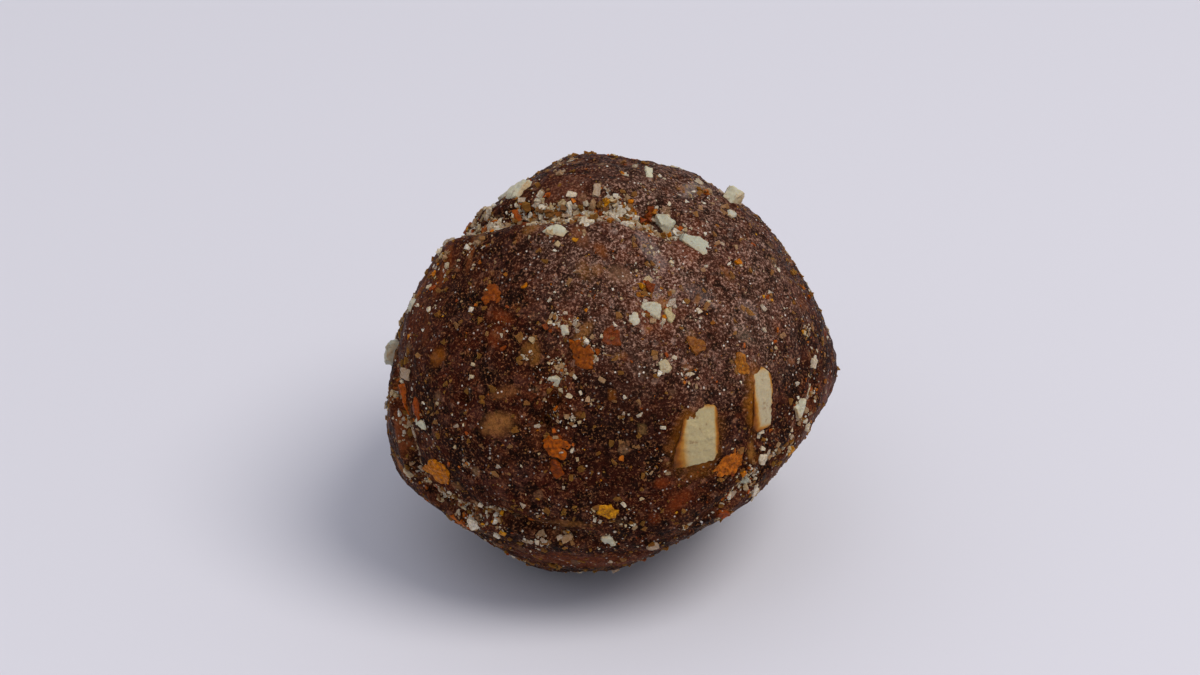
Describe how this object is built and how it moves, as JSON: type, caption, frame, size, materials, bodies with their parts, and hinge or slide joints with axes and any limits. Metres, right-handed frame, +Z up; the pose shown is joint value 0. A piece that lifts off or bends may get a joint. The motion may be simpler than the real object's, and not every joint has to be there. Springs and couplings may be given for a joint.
{
  "type": "energy ball",
  "caption": "Hand-rolled bite of date paste with chopped nuts, skin flakes and crumbs pressed in, lumpy and folded, resting on a small flat spot.",
  "frame": {"origin": "middle of the outline, on the surface that the ball rests on", "axes": "+Z up; the pictured side faces -Y, and +X is to its right, along the ball's longest side"},
  "size_m": [0.0358, 0.0341, 0.0334],
  "materials": {
    "date_paste": "dark brown date paste, slightly sticky, satin with a dull pale bloom",
    "nut_flesh": "cut cream nut, waxy",
    "nut_skin": "amber brown skin flakes, papery satin"
  },
  "bodies": {
    "root": {"energy_ball": "date_paste"}
  },
  "joints": []
}
